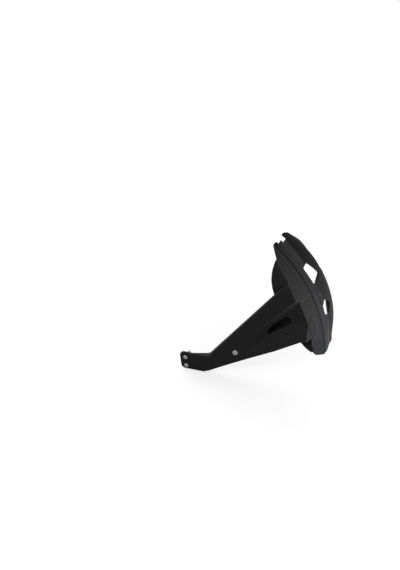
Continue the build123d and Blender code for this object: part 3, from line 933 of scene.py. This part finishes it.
@dataclass
class SubAssembly:
    """Pieces of the part that belong together, carried over from the frame."""

    nodes: ClassVar[tuple[str, ...]] = ()
    materials: dict[Slot, bpy.types.Material]

    def dress(self) -> list[bpy.types.Object]:
        """Give each carried node the finish of its slot.

        Returns:
            The dressed objects.
        """
        slots = {part["node"]: Slot(part["material_slot"]) for part in frame["record"]["subparts"]}
        pieces = [frame["nodes"][node] for node in self.nodes]
        for node, piece in zip(self.nodes, pieces):
            piece.data.materials.clear()
            piece.data.materials.append(self.materials[slots[node]])
        return pieces

    def build(self) -> list[bpy.types.Object]:
        """Make the pieces that the frame lacks, which most sub-assemblies have none of."""
        return []


@dataclass
class MouldedShell(SubAssembly):
    """The body with its side arm, and the cover on the blade."""

    nodes: ClassVar[tuple[str, ...]] = ("fender_body", "rear_cover")


@dataclass
class CoverFixings(SubAssembly):
    """Inserts, screws and washers that hold the cover, and the screws on its flanks."""

    nodes: ClassVar[tuple[str, ...]] = ("cover_inserts", "cover_screws", "cover_washers", "flank_screws")


@dataclass
class ArmFixings(SubAssembly):
    """Bolt through the arm, with its washer, sleeve and nut."""

    nodes: ClassVar[tuple[str, ...]] = ("arm_bolt", "arm_washer", "arm_sleeve", "arm_nut")


@dataclass
class TabFixings(SubAssembly):
    """Bracket behind the arm, and the tab's two bolts with their threads, washers and sleeves."""

    nodes: ClassVar[tuple[str, ...]] = ("mounting_bracket", "tab_bolts", "tab_washers", "tab_sleeves")
    pitch: float = 1.0 * MILLIMETRE
    crest_radius: float = 2.98 * MILLIMETRE
    thread_start: float = 0.3 * MILLIMETRE

    def build(self) -> list[bpy.types.Object]:
        """Make the threads on the bolts' free ends.

        Returns:
            The new pieces.
        """
        mount = next(entry for entry in frame["record"]["mounts"] if entry["name"] == "tab_bolts")
        axis = np.array(mount["axis"], float)
        reach = float(np.array(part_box("tab_bolts")[1]) @ axis)
        half_spacing = 0.5 * mount["dims"]["spacing_y_mm"] * MILLIMETRE
        pieces = []
        for label, height in (("lower", -half_spacing), ("upper", half_spacing)):
            end = ThreadedEnd(
                name=f"tab_thread_{label}",
                start=np.array([0.0, 0.0, height]) + self.thread_start * axis,
                axis=axis,
                root_radius=mount["dims"]["stud_r_mm"] * MILLIMETRE,
                crest_radius=self.crest_radius,
                pitch=self.pitch,
                length=reach - self.thread_start,
            )
            pieces.append(end.build(self.materials[Slot.ZINC_STEEL], Slot.ZINC_STEEL))
        return pieces


@dataclass(frozen=True)
class Lamp:
    """A soft square lamp that faces a point."""

    name: str
    place: Point
    target: Point
    side: float
    power: float

    def hang(self) -> None:
        """Hang the lamp, out of the camera's sight."""
        data = bpy.data.lights.new(self.name, "AREA")
        data.shape = "SQUARE"
        data.size = self.side
        data.energy = self.power
        lamp = bpy.data.objects.new(self.name, data)
        lamp.visible_camera = False
        lamp.location = self.place
        lamp.rotation_euler = (Vector(self.target) - Vector(self.place)).to_track_quat("-Z", "Y").to_euler()
        bpy.context.scene.collection.objects.link(lamp)


@dataclass
class Studio:
    """Floor, lights and camera."""

    camera_place: Point = (0.4399, -0.8195, 0.732)
    camera_target: Point = (0.019, 0.0712, 0.1665)
    camera_roll: float = math.radians(-5.8207)
    focal_pixels: float = 488.2
    sensor_width: float = 36.0
    floor_half: float = 6.0
    floor_gap: float = 0.5 * MILLIMETRE
    floor_colour: Colour = (0.45, 0.45, 0.45)
    floor_shade: Colour = (0.25, 0.25, 0.25)
    glow_near: float = 0.7
    glow_far: float = 0.92
    glow_start: float = 0.15
    glow_end: float = 0.9
    world_strength: float = 0.19
    lamps: tuple[Lamp, ...] = (
        Lamp("key", place=(0.74, 0.19, 0.09), target=(0.22, 0.08, 0.13), side=0.2, power=2.8),
        Lamp("fill", place=(-0.9, 0.9, 0.7), target=(0.15, 0.1, 0.1), side=1.2, power=14.0),
        Lamp("near", place=(-0.185, -0.94, 1.135), target=(0.25, 0.05, 0.1), side=0.5, power=4.0),
    )

    def build(self) -> None:
        """Make the floor, the lights, the world and the camera."""
        self.floor()
        self.world()
        for lamp in self.lamps:
            lamp.hang()
        self.camera()

    def floor(self) -> None:
        """Lay a pale floor just under the part."""
        level = cad_box[0][2] - self.floor_gap
        half = self.floor_half
        corners = [(-half, -half, level), (half, -half, level), (half, half, level), (-half, half, level)]
        mesh = bpy.data.meshes.new("floor")
        mesh.from_pydata(corners, [], [(0, 1, 2, 3)])
        mesh.materials.append(self.floor_material())
        floor = bpy.data.objects.new("floor", mesh)
        bpy.context.scene.collection.objects.link(floor)

    def floor_material(self) -> bpy.types.Material:
        """Make white card for the camera and for reflections, and grey card for the light it throws back.

        The card glows less round the part, where the lamps light it, so that the part's shadow shows.

        Returns:
            The floor's material.
        """
        material, pen = new_material("floor")
        place = pen.add("ShaderNodeTexCoord").outputs["Object"]
        middle = (np.array(cad_box[0]) + np.array(cad_box[1])) / 2
        away = pen.add("ShaderNodeVectorMath", {0: place, 1: middle}, operation="DISTANCE").outputs["Value"]
        strength = pen.span(pen.stretch(away, self.glow_start, self.glow_end), self.glow_near, self.glow_far)
        glow = pen.add("ShaderNodeEmission", {"Color": opaque(WHITE), "Strength": strength})
        shade = pen.add("ShaderNodeBsdfDiffuse", {"Color": opaque(self.floor_shade)})
        paper = pen.add("ShaderNodeBsdfDiffuse", {"Color": opaque(self.floor_colour)})
        card = pen.add("ShaderNodeAddShader", {0: paper.outputs[0], 1: glow.outputs[0]})
        shaders = {0: self.seen(pen), 1: shade.outputs[0], 2: card.outputs[0]}
        pen.finish(pen.add("ShaderNodeMixShader", shaders))
        return material

    @staticmethod
    def seen(pen: NodePen) -> Socket:
        """Tell the rays that show the surroundings from those that carry light.

        Args:
            pen: Pen on the floor or the world.

        Returns:
            One for a ray from the camera, a reflection or a clear body, and nought for light.
        """
        path = pen.add("ShaderNodeLightPath").outputs
        direct = pen.math("MAXIMUM", path["Is Camera Ray"], path["Is Glossy Ray"])
        return pen.math("MAXIMUM", direct, path["Is Transmission Ray"])

    def world(self) -> None:
        """Put white behind the part for the camera and for reflections, and soft grey as light."""
        world = bpy.data.worlds.new("studio")
        bpy.context.scene.world = world
        world.use_nodes = True
        world.node_tree.nodes.clear()
        pen = NodePen(world.node_tree)
        strength = pen.span(self.seen(pen), self.world_strength, 1.0)
        background = pen.add("ShaderNodeBackground", {"Color": opaque(WHITE), "Strength": strength})
        pen.finish(background, "ShaderNodeOutputWorld")

    def camera(self) -> None:
        """Set the camera at the picture's view, with its small roll."""
        data = bpy.data.cameras.new("camera")
        data.sensor_fit = "HORIZONTAL"
        data.sensor_width = self.sensor_width
        data.lens = self.sensor_width * self.focal_pixels / PICTURE_WIDTH
        camera = bpy.data.objects.new("camera", data)
        look = (Vector(self.camera_target) - Vector(self.camera_place)).to_track_quat("-Z", "Y")
        roll = Matrix.Rotation(self.camera_roll, 4, "Z")
        camera.matrix_world = Matrix.Translation(self.camera_place) @ look.to_matrix().to_4x4() @ roll
        bpy.context.scene.collection.objects.link(camera)
        bpy.context.scene.camera = camera


def main() -> None:
    """Dress the part, add its small pieces and set the studio."""
    logging.basicConfig(level=logging.INFO, format="%(name)s: %(message)s")
    bpy.context.scene.view_settings.view_transform = "Standard"
    effects = Effects.make()
    materials = {finish.slot: finish.material(effects) for finish in FINISHES}
    for kind in (MouldedShell, CoverFixings, ArmFixings, TabFixings):
        assembly = kind(materials)
        for piece in assembly.dress():
            log.info("dressed %s", piece.name)
        for piece in assembly.build():
            log.info("made %s", piece.name)
    Studio().build()


if __name__ == "__main__":
    main()
